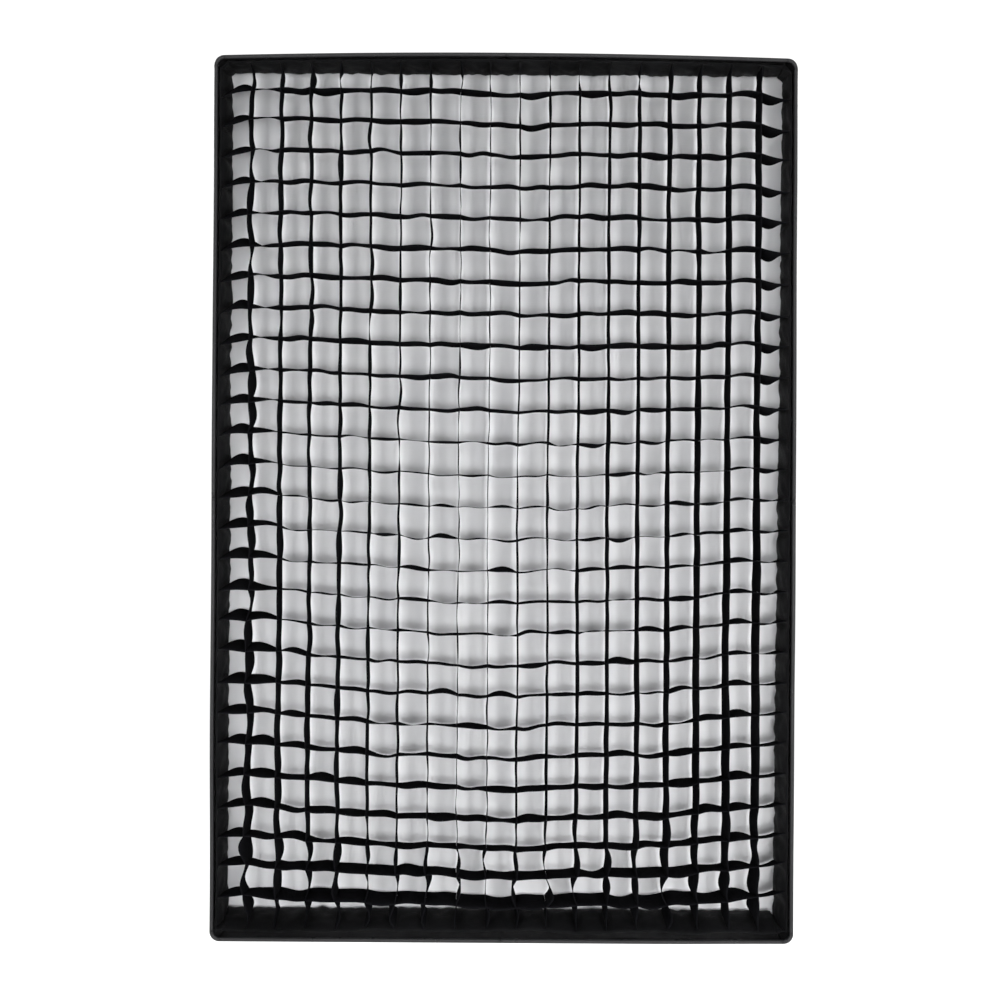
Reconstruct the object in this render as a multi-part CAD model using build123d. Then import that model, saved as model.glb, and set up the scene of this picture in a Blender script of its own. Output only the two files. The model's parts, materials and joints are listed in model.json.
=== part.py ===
from build123d import *
import math
import os

# Rectangular softbox with a fabric grid, 80 x 120 cm, on a turning bayonet ring with four folding rods.
# Millimetres. +Z is up, +X is right seen from the front, and the front faces -Y.
# The origin is the centre of the adapter's bore, on the seat that meets the light.

FABRIC = 1.2  # thickness of a shell panel or lip wall
PAST = 1.0  # how far a cutter or a joined piece runs past a face

# Front lip and shell
FRONT_W = 800.0
FRONT_H = 1212.0
LIP_FRONT_Y = -475.0
LIP_REAR_Y = -401.5
SEAM_FRONT_Y = -400.0
CORNER_R = 14.0
SEAM_X = FRONT_W / 2 - 2.0
SEAM_Z = FRONT_H / 2 - 2.0
REAR_X = 84.0
REAR_Z = 100.0
REAR_Y = -47.0
SEAM_INSET = 3.0  # panel edge to the corner seam
MIDDLE_GAP = 0.3  # panel edge to the plane where two halves meet

# Bayonet adapter
BORE_R = 46.0
COLLAR_R = 50.0
COLLAR_Y = 11.5
LUG_R = 57.0
LUG_THICK = 3.0
LUG_ARC = 40.0
LUG_COUNT = 3
STEP_R = 59.5
FLANGE_R = 69.7
FLANGE_REAR_Y = -3.5
FLANGE_FRONT_Y = -11.5

# Turning ring
RING_R = 80.0
RING_BORE_R = 52.0
RIM_BORE_R = 70.0
RING_FRONT_Y = -19.0
GLIDE_FRONT_Y = -12.1
GLIDE_THICK = 0.5
GLIDE_OUTER_R = 68.0
GLIDE_INNER_R = 54.0
RIM_REAR_Y = -3.3
RETAINER_THICK = 2.5
RETAINER_BORE_R = 60.0
RETAINER_SCREWS = 6
SCREW_PCD_R = 75.0
M3_R = 1.5
M3_HEAD_R = 2.8
M3_HEAD_H = 2.0
M3_LENGTH = 8.0

# Lock screw, which presses on the flange's edge from the right
LOCK_Y = (FLANGE_REAR_Y + FLANGE_FRONT_Y) / 2
LOCK_HOLE_R = 3.0
LOCK_SCREW_R = 2.95
BOSS_X = 92.0
BOSS_ROOT_X = 77.0
BOSS_FRONT_Y = -17.0
BOSS_HALF_W = 9.0
PAD_X = 69.8
PAD_LENGTH = 4.0
PAD_GAP = 0.1  # pad to the end of the screw
KNOB_X = 95.0
KNOB_LENGTH = 20.0
KNOB_R = 15.0
KNOB_CAP = 4.0  # the knob's end wall, past the end of the screw
HUB_R = 8.0
HUB_LENGTH = 5.0
KNOB_FLUTES = 8
FLUTE_R = 4.0
FLUTE_CENTRE_R = 16.5

# Rods and their hinges
HINGE_R = 74.0
HINGE_Y = -33.0
PIN_R = 2.0
PIN_HOLE_R = 2.05
BRACKET_INNER_R = 55.0
BRACKET_THICK = 3.0
BRACKET_OUTER_R = 79.0
EAR_HALF = 5.0
EAR_GAP = 12.4
EAR_THICK = 2.5
BRACKET_SCREW_R = 60.0
BRACKET_SCREW_SPACING = 11.0
BRACKET_SCREW_DEPTH = 5.0
HOLDER_W = 12.0
HOLDER_HALF = 5.0
HOLDER_LENGTH = 40.0
SOCKET_DEPTH = 28.0
ROD_R = 2.5
ROD_TIP_Y = -388.0
TIP_R = 4.0
TIP_LENGTH = 20.0
TIP_OVERLAP = 12.0
POCKET_R = 5.2
POCKET_LENGTH = 30.0
POCKET_END = 1.2
POCKET_GAP = 0.1  # tip to the pouch

# Sleeve band behind the shell and the inner baffle
CUFF_R = 82.0
CUFF_INNER_R = 80.2
CUFF_FRONT_Y = -28.0
CUFF_REAR_Y = -17.5
BAFFLE_Y = -210.0
BAFFLE_X = 218.0
BAFFLE_Z = 318.0
BAFFLE_CUT = 40.0
BAFFLE_THICK = 1.0
TAB_W = 20.0
TAB_LENGTH = 8.0
TAB_PLACE = 100.0

# Front diffuser
DIFFUSER_X = FRONT_W / 2 - 10.0
DIFFUSER_Z = FRONT_H / 2 - 10.0
DIFFUSER_REAR_Y = -403.0
DIFFUSER_THICK = 1.2
TAPE_OUTER = 1.6  # tape's outer face to the lip's inner face
TAPE_THICK = 1.0
TAPE_WIDTH = 20.0

# Grid
GRID_BORDER_X = FRONT_W / 2 - 5.0
GRID_BORDER_Z = FRONT_H / 2 - 5.0
GRID_BORDER_FRONT_Y = -472.0
GRID_BORDER_REAR_Y = -412.0
BORDER_CORNER_GAP = 6.0
STRIP_FRONT_Y = -468.0
STRIP_REAR_Y = -413.0
STRIP_THICK = 0.8
SLOT_W = 1.2
SLOT_SPARE = 0.1
COLUMNS = 19
ROWS = 28

CORNER_AZIMUTH = math.atan2(SEAM_Z, SEAM_X)
OUTWARD = Vector(math.cos(CORNER_AZIMUTH), 0, math.sin(CORNER_AZIMUTH))
TANGENT = Vector(math.sin(CORNER_AZIMUTH), 0, -math.cos(CORNER_AZIMUTH))
HINGE = OUTWARD * HINGE_R + Vector(0, HINGE_Y, 0)
ROD_ANGLE = math.radians(59.8)  # from the light's axis, with the softbox open
ROD_DIRECTION = OUTWARD * math.sin(ROD_ANGLE) - Vector(0, math.cos(ROD_ANGLE), 0)

CORNERS = {
    "upper_right": (1, 1),
    "upper_left": (-1, 1),
    "lower_left": (-1, -1),
    "lower_right": (1, -1),
}


def save(shape, name):
    """Write one named piece, or one group of loose pieces, to its own file."""
    export_step(shape, f"parts/{name}.step")


def group(shapes):
    """Loose solids that share one name."""
    return Compound(children=[solid for shape in shapes for solid in shape.solids()])


def block(x0, x1, y0, y1, z0, z1):
    """A box between two corners."""
    middle = Pos((x0 + x1) / 2, (y0 + y1) / 2, (z0 + z1) / 2)
    return middle * Box(abs(x1 - x0), abs(y1 - y0), abs(z1 - z0))


def along_y(sketch, y0, y1):
    """A sketch about the light's axis, pushed from y0 back to y1."""
    start = Plane((0, y0, 0), x_dir=(1, 0, 0), z_dir=(0, 1, 0))
    return extrude(start * sketch, amount=y1 - y0)


def tube(outer_r, inner_r, y0, y1):
    """A plain ring about the light's axis."""
    return along_y(Circle(outer_r) - Circle(inner_r), y0, y1)


def rod_between(start, end, radius):
    """A round bar from one point to another."""
    run = end - start
    return extrude(Plane(start, z_dir=run) * Circle(radius), amount=run.length)


def plate(points, thickness, towards):
    """A flat panel with these corners, thickened towards one side."""
    outline = make_face(Polyline(*points, close=True))
    return extrude(outline, amount=thickness, dir=towards)


def place(shape, sides):
    """The upper right piece, mirrored to the corner with these signs of x and z."""
    if sides[0] < 0:
        shape = mirror(shape, about=Plane.YZ)
    if sides[1] < 0:
        shape = mirror(shape, about=Plane.XY)
    return shape


def at_corner(radial, axial, tangential):
    """A point given along the upper right rod's azimuth."""
    return OUTWARD * radial + Vector(0, axial, 0) + TANGENT * tangential


def polar(radius, degrees, y):
    """A point on a circle about the light's axis."""
    angle = math.radians(degrees)
    return Vector(radius * math.cos(angle), y, radius * math.sin(angle))


# Bayonet adapter and turning ring


def mount_adapter():
    flange = tube(FLANGE_R, BORE_R, FLANGE_FRONT_Y, FLANGE_REAR_Y)
    step = tube(STEP_R, BORE_R, FLANGE_REAR_Y, 0)
    collar = tube(COLLAR_R, BORE_R, 0, COLLAR_Y)
    lug_ring = tube(LUG_R, COLLAR_R - PAST, COLLAR_Y - LUG_THICK, COLLAR_Y)
    reach = 2 * LUG_R
    half = math.radians(LUG_ARC / 2)
    wedge = make_face(
        Polyline(
            (0, 0), (reach * math.cos(half), reach * math.sin(half)),
            (reach * math.cos(half), -reach * math.sin(half)), close=True,
        )
    )
    body = flange + step + collar
    for i in range(LUG_COUNT):
        turned = Rot(0, 0, 90 + i * 360 / LUG_COUNT) * wedge
        body += lug_ring & along_y(turned, COLLAR_Y - LUG_THICK, COLLAR_Y)
    return body


def retaining_screws():
    """Countersunk screws, flush with the retaining ring."""
    top_y = RIM_REAR_Y + RETAINER_THICK
    head_depth = M3_HEAD_R - M3_R
    screws = []
    for i in range(RETAINER_SCREWS):
        place_at = polar(SCREW_PCD_R, 30 + i * 360 / RETAINER_SCREWS, 0)
        head = Solid.make_cone(
            M3_R, M3_HEAD_R, head_depth,
            Plane((place_at.X, top_y - head_depth, place_at.Z), z_dir=(0, 1, 0)),
        )
        foot = Vector(place_at.X, top_y - M3_LENGTH, place_at.Z)
        shank = rod_between(foot, Vector(place_at.X, top_y - head_depth, place_at.Z), M3_R)
        screws.append(shank + head)
    return group(screws)


def bracket_screw_places():
    half = BRACKET_SCREW_SPACING / 2
    return [(BRACKET_SCREW_R, -half), (BRACKET_SCREW_R, half)]


def bracket_screws_at_corner():
    base_y = RING_FRONT_Y - BRACKET_THICK
    screws = []
    for radial, tangential in bracket_screw_places():
        seat = at_corner(radial, base_y, tangential)
        head = rod_between(seat - Vector(0, M3_HEAD_H, 0), seat, M3_HEAD_R)
        foot = at_corner(radial, RING_FRONT_Y + BRACKET_SCREW_DEPTH, tangential)
        screws.append(head + rod_between(seat, foot, M3_R))
    return screws


def bracket_screws():
    return group(place(s, sides) for sides in CORNERS.values() for s in bracket_screws_at_corner())


def lock_hole():
    inner = Vector(RIM_BORE_R - PAST, LOCK_Y, 0)
    return rod_between(inner, Vector(BOSS_X + PAST, LOCK_Y, 0), LOCK_HOLE_R)


def ring_body(retainer_screws, corner_screws):
    floor = tube(RING_R, RING_BORE_R, RING_FRONT_Y, GLIDE_FRONT_Y)
    rim = tube(RING_R, RIM_BORE_R, GLIDE_FRONT_Y, RIM_REAR_Y)
    boss = block(BOSS_ROOT_X, BOSS_X, BOSS_FRONT_Y, RIM_REAR_Y, -BOSS_HALF_W, BOSS_HALF_W)
    return floor + rim + boss - lock_hole() - retainer_screws - corner_screws


def glide_ring():
    return tube(GLIDE_OUTER_R, GLIDE_INNER_R, GLIDE_FRONT_Y, GLIDE_FRONT_Y + GLIDE_THICK)


def retaining_ring(screws):
    return tube(RING_R, RETAINER_BORE_R, RIM_REAR_Y, RIM_REAR_Y + RETAINER_THICK) - screws


def rear_cuff():
    return tube(CUFF_R, CUFF_INNER_R, CUFF_FRONT_Y, CUFF_REAR_Y)


# Lock


def lock_pad():
    return rod_between(Vector(PAD_X, LOCK_Y, 0), Vector(PAD_X + PAD_LENGTH, LOCK_Y, 0), LOCK_SCREW_R)


def lock_screw():
    start = Vector(PAD_X + PAD_LENGTH + PAD_GAP, LOCK_Y, 0)
    end = Vector(KNOB_X + KNOB_LENGTH - KNOB_CAP, LOCK_Y, 0)
    return rod_between(start, end, LOCK_SCREW_R)


def lock_knob(screw):
    start = Vector(KNOB_X, LOCK_Y, 0)
    end = Vector(KNOB_X + KNOB_LENGTH, LOCK_Y, 0)
    grip = rod_between(start + Vector(HUB_LENGTH, 0, 0), end, KNOB_R)
    for i in range(KNOB_FLUTES):
        angle = math.radians(i * 360 / KNOB_FLUTES)
        aside = Vector(0, math.cos(angle), math.sin(angle)) * FLUTE_CENTRE_R
        grip -= rod_between(start + aside, end + aside + Vector(PAST, 0, 0), FLUTE_R)
    hub = rod_between(start, start + Vector(HUB_LENGTH + PAST, 0, 0), HUB_R)
    return grip + hub - screw


# Rods, their brackets and corners: all are made for the upper right corner


def profile(x0, x1, y0, y1):
    """A rectangle on a corner plane, where x is outward from the light's axis and y runs forward."""
    return Pos((x0 + x1) / 2, -(y0 + y1) / 2) * Rectangle(x1 - x0, y1 - y0)


def corner_plane(tangential):
    """A plane along the upper right rod, this far across it."""
    return Plane(at_corner(0, 0, tangential), x_dir=OUTWARD, z_dir=TANGENT)


def across_hinge(half_length, radius):
    """A round bar on the hinge's axis, to both sides of it."""
    return rod_between(HINGE - TANGENT * half_length, HINGE + TANGENT * half_length, radius)


def rod_bracket():
    """A base with two ears and a gap between them for the rod holder."""
    base_y = RING_FRONT_Y - BRACKET_THICK
    ear_half = EAR_GAP / 2 + EAR_THICK
    foot = profile(BRACKET_INNER_R, BRACKET_OUTER_R, base_y, RING_FRONT_Y)
    base = extrude(corner_plane(-ear_half) * foot, amount=2 * ear_half)
    ear = profile(HINGE_R - EAR_HALF, HINGE_R + EAR_HALF, HINGE_Y, base_y)
    ear += Pos(HINGE_R, -HINGE_Y) * Circle(EAR_HALF)
    ears = extrude(corner_plane(-ear_half) * ear, amount=2 * ear_half)
    gap = profile(BRACKET_INNER_R, RING_R, HINGE_Y - 2 * EAR_HALF, base_y)
    bracket = base + (ears - extrude(corner_plane(-EAR_GAP / 2) * gap, amount=EAR_GAP))
    bracket -= across_hinge(ear_half + PAST, PIN_R)
    for screw in bracket_screws_at_corner():
        bracket -= screw
    return bracket


def hinge_pin():
    return across_hinge(EAR_GAP / 2 + EAR_THICK + PAST, PIN_R)


def rod_holder():
    start = HINGE - TANGENT * (HOLDER_W / 2)
    plane = Plane(start, x_dir=ROD_DIRECTION, z_dir=TANGENT)
    bar = Pos(HOLDER_LENGTH / 2, 0) * Rectangle(HOLDER_LENGTH, 2 * HOLDER_HALF)
    block_part = extrude(plane * (bar + Circle(HOLDER_HALF)), amount=HOLDER_W)
    block_part -= across_hinge(HOLDER_W / 2 + PAST, PIN_HOLE_R)
    socket = rod_between(rod_start(), HINGE + ROD_DIRECTION * (HOLDER_LENGTH + PAST), ROD_R)
    return block_part - socket


def rod_start():
    return HINGE + ROD_DIRECTION * (HOLDER_LENGTH - SOCKET_DEPTH)


def rod_end():
    return HINGE + ROD_DIRECTION * ((HINGE_Y - ROD_TIP_Y) / math.cos(ROD_ANGLE))


def rod():
    return rod_between(rod_start(), rod_end(), ROD_R)


def rod_tip():
    start = rod_end() - ROD_DIRECTION * TIP_OVERLAP
    cap = rod_between(start, start + ROD_DIRECTION * TIP_LENGTH, TIP_R)
    return cap - rod_between(start, rod_end(), ROD_R)


def rod_pocket():
    """The sewn pouch that the tip sits in."""
    end = rod_end() + ROD_DIRECTION * (TIP_LENGTH - TIP_OVERLAP + POCKET_END)
    start = end - ROD_DIRECTION * POCKET_LENGTH
    pouch = rod_between(start, end, POCKET_R)
    pouch -= rod_between(start, end - ROD_DIRECTION * POCKET_END, TIP_R + POCKET_GAP)
    return pouch


def lip_corner():
    """The rounded corner of the front lip."""
    centre = Pos(FRONT_W / 2 - CORNER_R, -(FRONT_H / 2 - CORNER_R))
    ring = Circle(CORNER_R) - Circle(CORNER_R - FABRIC)
    quarter = ring & (Pos(CORNER_R / 2, -CORNER_R / 2) * Rectangle(CORNER_R, CORNER_R))
    return along_y(centre * quarter, LIP_FRONT_Y, LIP_REAR_Y)


# Shell: half panels and half lips of the upper right corner


def seam_points():
    return Vector(REAR_X, REAR_Y, REAR_Z), Vector(SEAM_X, SEAM_FRONT_Y, SEAM_Z)


def half_panel(across):
    """Half of a panel, from the corner seam to the middle. across is the way to the middle."""
    rear, front = seam_points()
    if across.X:
        rear_middle = Vector(MIDDLE_GAP, rear.Y, rear.Z)
        front_middle = Vector(MIDDLE_GAP, front.Y, front.Z)
    else:
        rear_middle = Vector(rear.X, rear.Y, MIDDLE_GAP)
        front_middle = Vector(front.X, front.Y, MIDDLE_GAP)
    inset = across * SEAM_INSET
    inward = (front - rear).cross(across)
    if inward.dot(OUTWARD) > 0:
        inward = -inward
    return plate(
        [rear + inset, front + inset, front_middle, rear_middle], FABRIC, inward.normalized()
    )


def half_lip_top():
    end = FRONT_W / 2 - CORNER_R - MIDDLE_GAP
    top = FRONT_H / 2
    return block(MIDDLE_GAP, end, LIP_FRONT_Y, LIP_REAR_Y, top - FABRIC, top)


def half_lip_side():
    end = FRONT_H / 2 - CORNER_R - MIDDLE_GAP
    edge = FRONT_W / 2
    return block(edge - FABRIC, edge, LIP_FRONT_Y, LIP_REAR_Y, MIDDLE_GAP, end)


# Baffle, diffuser and grid


def inner_baffle():
    outline = Rectangle(2 * BAFFLE_X, 2 * BAFFLE_Z)
    return along_y(chamfer(outline.vertices(), BAFFLE_CUT), BAFFLE_Y - BAFFLE_THICK, BAFFLE_Y)


def baffle_tabs():
    y0 = BAFFLE_Y - BAFFLE_THICK
    low = TAB_PLACE - TAB_W / 2
    high = TAB_PLACE + TAB_W / 2
    top = block(low, high, y0, BAFFLE_Y, BAFFLE_Z, BAFFLE_Z + TAB_LENGTH)
    side = block(BAFFLE_X, BAFFLE_X + TAB_LENGTH, y0, BAFFLE_Y, low, high)
    return group(place(tab, sides) for sides in CORNERS.values() for tab in (top, side))


def front_diffuser():
    return block(
        -DIFFUSER_X, DIFFUSER_X, DIFFUSER_REAR_Y - DIFFUSER_THICK, DIFFUSER_REAR_Y,
        -DIFFUSER_Z, DIFFUSER_Z,
    )


def four_walls(x, z, thickness, y0, y1, corner_gap):
    """Four separate walls of a rectangle with outer half sizes x and z, open at the corners."""
    top = block(-x + corner_gap, x - corner_gap, y0, y1, z - thickness, z)
    side = block(x - thickness, x, y0, y1, -z + corner_gap, z - corner_gap)
    return group([top, mirror(top, about=Plane.XY), side, mirror(side, about=Plane.YZ)])


def diffuser_tape():
    """The hook tape sewn around the diffuser, which stands inside the lip."""
    x = FRONT_W / 2 - FABRIC - TAPE_OUTER
    z = FRONT_H / 2 - FABRIC - TAPE_OUTER
    rear = DIFFUSER_REAR_Y
    return four_walls(x, z, TAPE_THICK, rear - TAPE_WIDTH, rear, CORNER_R)


def grid_border():
    return four_walls(
        GRID_BORDER_X, GRID_BORDER_Z, FABRIC, GRID_BORDER_FRONT_Y, GRID_BORDER_REAR_Y,
        BORDER_CORNER_GAP,
    )


def comb(half_length, places, open_y, closed_y, slot_y):
    """Corners of a strip's outline, with a slot cut in from its open edge at each place."""
    points = [(-half_length, closed_y), (-half_length, open_y)]
    for place_at in places:
        points += [(place_at - SLOT_W / 2, open_y), (place_at - SLOT_W / 2, slot_y)]
        points += [(place_at + SLOT_W / 2, slot_y), (place_at + SLOT_W / 2, open_y)]
    return points + [(half_length, open_y), (half_length, closed_y)]


def even_places(count, half_width):
    pitch = 2 * half_width / count
    return [pitch * i - half_width for i in range(1, count)]


GRID_X = GRID_BORDER_X - FABRIC
GRID_Z = GRID_BORDER_Z - FABRIC
MIDDLE_Y = (STRIP_FRONT_Y + STRIP_REAR_Y) / 2


def grid_vertical_strips():
    slots = even_places(ROWS, GRID_Z)
    outline = comb(GRID_Z, slots, STRIP_FRONT_Y, STRIP_REAR_Y, MIDDLE_Y + SLOT_SPARE)
    strip = plate([(0, y, z) for z, y in outline], STRIP_THICK, (1, 0, 0))
    return group(Pos(x - STRIP_THICK / 2, 0, 0) * strip for x in even_places(COLUMNS, GRID_X))


def grid_horizontal_strips():
    slots = even_places(COLUMNS, GRID_X)
    outline = comb(GRID_X, slots, STRIP_REAR_Y, STRIP_FRONT_Y, MIDDLE_Y - SLOT_SPARE)
    strip = plate([(x, y, 0) for x, y in outline], STRIP_THICK, (0, 0, 1))
    return group(Pos(0, 0, z - STRIP_THICK / 2) * strip for z in even_places(ROWS, GRID_Z))


def save_ring():
    retainer_screws = retaining_screws()
    corner_screws = bracket_screws()
    save(mount_adapter(), "mount_adapter")
    save(ring_body(retainer_screws, corner_screws), "ring_body")
    save(glide_ring(), "glide_ring")
    save(retaining_ring(retainer_screws), "retaining_ring")
    save(retainer_screws, "retaining_screws")
    save(corner_screws, "bracket_screws")
    save(group(place(rod_bracket(), sides) for sides in CORNERS.values()), "rod_brackets")
    save(group(place(hinge_pin(), sides) for sides in CORNERS.values()), "hinge_pins")
    save(rear_cuff(), "rear_cuff")


def save_lock():
    screw = lock_screw()
    save(lock_pad(), "lock_pad")
    save(screw, "lock_screw")
    save(lock_knob(screw), "lock_knob")


def save_corners():
    pieces = {
        "rod_holder": rod_holder(),
        "rod": rod(),
        "rod_tip": rod_tip(),
        "rod_pocket": rod_pocket(),
        "lip_corner": lip_corner(),
    }
    for corner, sides in CORNERS.items():
        for name, piece in pieces.items():
            save(place(piece, sides), f"{name}_{corner}")


def save_shell():
    top_panel = half_panel(Vector(-1, 0, 0))
    side_panel = half_panel(Vector(0, 0, -1))
    for corner, sides in CORNERS.items():
        upright, side = corner.split("_")
        level = "top" if upright == "upper" else "bottom"
        save(place(top_panel, sides), f"panel_{level}_{side}")
        save(place(half_lip_top(), sides), f"lip_{level}_{side}")
        save(place(side_panel, sides), f"panel_{side}_{upright}")
        save(place(half_lip_side(), sides), f"lip_{side}_{upright}")


def save_front():
    save(inner_baffle(), "inner_baffle")
    save(baffle_tabs(), "baffle_tabs")
    save(front_diffuser(), "front_diffuser")
    save(diffuser_tape(), "diffuser_tape")
    save(grid_border(), "grid_border")
    save(grid_vertical_strips(), "grid_vertical_strips")
    save(grid_horizontal_strips(), "grid_horizontal_strips")


os.makedirs("parts", exist_ok=True)
save_ring()
save_lock()
save_corners()
save_shell()
save_front()
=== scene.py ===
import json
import math
import random

import bpy
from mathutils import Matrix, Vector, noise


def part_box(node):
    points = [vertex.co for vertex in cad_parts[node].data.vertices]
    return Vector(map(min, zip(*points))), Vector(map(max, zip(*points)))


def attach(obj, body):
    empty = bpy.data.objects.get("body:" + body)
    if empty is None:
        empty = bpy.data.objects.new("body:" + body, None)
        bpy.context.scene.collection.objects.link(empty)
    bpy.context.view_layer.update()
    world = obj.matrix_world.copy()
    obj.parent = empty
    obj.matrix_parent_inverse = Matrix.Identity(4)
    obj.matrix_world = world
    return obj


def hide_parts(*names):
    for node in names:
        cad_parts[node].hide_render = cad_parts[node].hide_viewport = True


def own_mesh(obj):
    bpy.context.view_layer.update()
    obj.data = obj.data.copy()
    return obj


# A rectangular softbox with a fabric grid. Metres, front towards -Y, light towards +Y, +Z up.

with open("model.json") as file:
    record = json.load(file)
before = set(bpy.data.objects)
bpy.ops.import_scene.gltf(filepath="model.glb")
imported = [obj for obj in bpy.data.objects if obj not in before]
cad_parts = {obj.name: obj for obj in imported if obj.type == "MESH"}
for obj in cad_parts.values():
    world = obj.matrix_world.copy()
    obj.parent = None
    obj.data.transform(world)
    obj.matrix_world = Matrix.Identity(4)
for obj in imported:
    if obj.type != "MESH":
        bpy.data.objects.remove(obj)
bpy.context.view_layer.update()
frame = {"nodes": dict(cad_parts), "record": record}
rng = random.Random(41)

CORNERS = {"upper_right": (1, 1), "upper_left": (-1, 1), "lower_left": (-1, -1), "lower_right": (1, -1)}
CLOTH = 0.0009  # thickness of the black cloth
DIFFUSER_CLOTH = 0.0004
BAFFLE_CLOTH = 0.0005
TAPE = 0.0008
TAPE_INSET = 0.0012  # the diffuser's edge from the outside of its border tape

# Places taken from the frame
HALF_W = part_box("lip_right_upper")[1].x
HALF_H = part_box("lip_top_right")[1].z
LIP_FRONT_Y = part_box("lip_top_right")[0].y
LIP_REAR_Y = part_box("lip_top_right")[1].y
CORNER_R = HALF_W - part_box("lip_corner_upper_right")[0].x
WALL = HALF_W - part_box("lip_right_upper")[0].x
GRID_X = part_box("grid_border")[1].x - WALL
GRID_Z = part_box("grid_border")[1].z - WALL
BORDER_FRONT_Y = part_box("grid_border")[0].y
BORDER_REAR_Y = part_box("grid_border")[1].y
STRIP_FRONT_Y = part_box("grid_vertical_strips")[0].y
STRIP_REAR_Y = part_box("grid_vertical_strips")[1].y
DIFFUSER_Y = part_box("front_diffuser")[1].y
DIFFUSER_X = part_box("diffuser_tape")[1].x - TAPE_INSET
DIFFUSER_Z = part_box("diffuser_tape")[1].z - TAPE_INSET
RING_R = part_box("retaining_ring")[1].x

# The corner seams of the shell, as the panels' hinges in the frame have them
SEAM_REAR = Vector((0.084, -0.047, 0.100))
SEAM_FRONT = Vector((HALF_W - 0.002, LIP_REAR_Y, HALF_H - 0.002))

# Grid cells
COLUMNS = 19
ROWS = 28
CELL_STEPS = 8  # of the mesh along a cell
DEPTH_STEPS = 8  # of the mesh from a strip's rear edge to its front edge
SLOT_HALF = 0.0006
LEAN = 0.0021  # lowers the front edges of the horizontal strips against their rear edges
TURN_Z = 0.148  # above this the tilt of the horizontal strips falls off with the height
NARROW_X = -0.04  # the vertical strips lean to or from this place


# ---------------------------------------------------------------- numbers


def lerp(a, b, t):
    return a + (b - a) * t


def step(edge0, edge1, x):
    """Smooth step from 0 at edge0 to 1 at edge1."""
    t = min(max((x - edge0) / (edge1 - edge0), 0.0), 1.0)
    return t * t * (3 - 2 * t)


def wander(x, z, size, seed):
    """Smooth noise from about -1 to 1, which changes over this size in metres."""
    return noise.noise(Vector((x / size, z / size, seed * 7.31)))


# ---------------------------------------------------------------- mesh helpers


def new_object(name, vertices, faces, smooth=True):
    mesh = bpy.data.meshes.new(name)
    mesh.from_pydata([tuple(v) for v in vertices], [], faces)
    mesh.polygons.foreach_set("use_smooth", [smooth] * len(mesh.polygons))
    mesh.update()
    obj = bpy.data.objects.new(name, mesh)
    bpy.context.scene.collection.objects.link(obj)
    return obj


def apply_modifiers(obj):
    depsgraph = bpy.context.evaluated_depsgraph_get()
    mesh = bpy.data.meshes.new_from_object(obj.evaluated_get(depsgraph))
    obj.modifiers.clear()
    obj.data = mesh
    return obj


def thicken(obj, thickness):
    """Turns a single layer of cloth into a thin closed one."""
    modifier = obj.modifiers.new("thickness", "SOLIDIFY")
    modifier.thickness = thickness
    modifier.offset = 0
    modifier.use_even_offset = False
    return apply_modifiers(obj)


def grid_faces(across, along, closed=False, skip=None):
    """Quads of a grid of vertices, where a row has `across` vertices and there are `along` rows."""
    faces = []
    for j in range(along if closed else along - 1):
        for i in range(across - 1):
            if skip and skip(i, j):
                continue
            a = j * across + i
            b = ((j + 1) % along) * across + i
            faces.append((a, a + 1, b + 1, b))
    return faces


def tube_mesh(path, radius, sides=10, squash=1.0):
    """Vertices and faces of a round tube with closed ends along a list of points."""
    vertices = []
    count = len(path)
    for k, point in enumerate(path):
        ahead = path[min(k + 1, count - 1)] - path[max(k - 1, 0)]
        ahead.normalize()
        side = ahead.cross(Vector((0.3, 0.9, 0.2))).normalized()
        up = ahead.cross(side).normalized()
        r = radius(k / (count - 1)) if callable(radius) else radius
        for s in range(sides):
            angle = 2 * math.pi * s / sides
            vertices.append(point + side * (math.cos(angle) * r) + up * (math.sin(angle) * r * squash))
    faces = []
    for k in range(count - 1):
        for s in range(sides):
            a = k * sides + s
            b = k * sides + (s + 1) % sides
            faces.append((a, b, b + sides, a + sides))
    faces.append(tuple(reversed(range(sides))))
    faces.append(tuple(range((count - 1) * sides, count * sides)))
    return vertices, faces


def join_meshes(parts):
    """One list of vertices and faces from several."""
    vertices, faces = [], []
    for part_vertices, part_faces in parts:
        start = len(vertices)
        vertices += part_vertices
        faces += [tuple(start + i for i in face) for face in part_faces]
    return vertices, faces


# ---------------------------------------------------------------- materials


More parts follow.
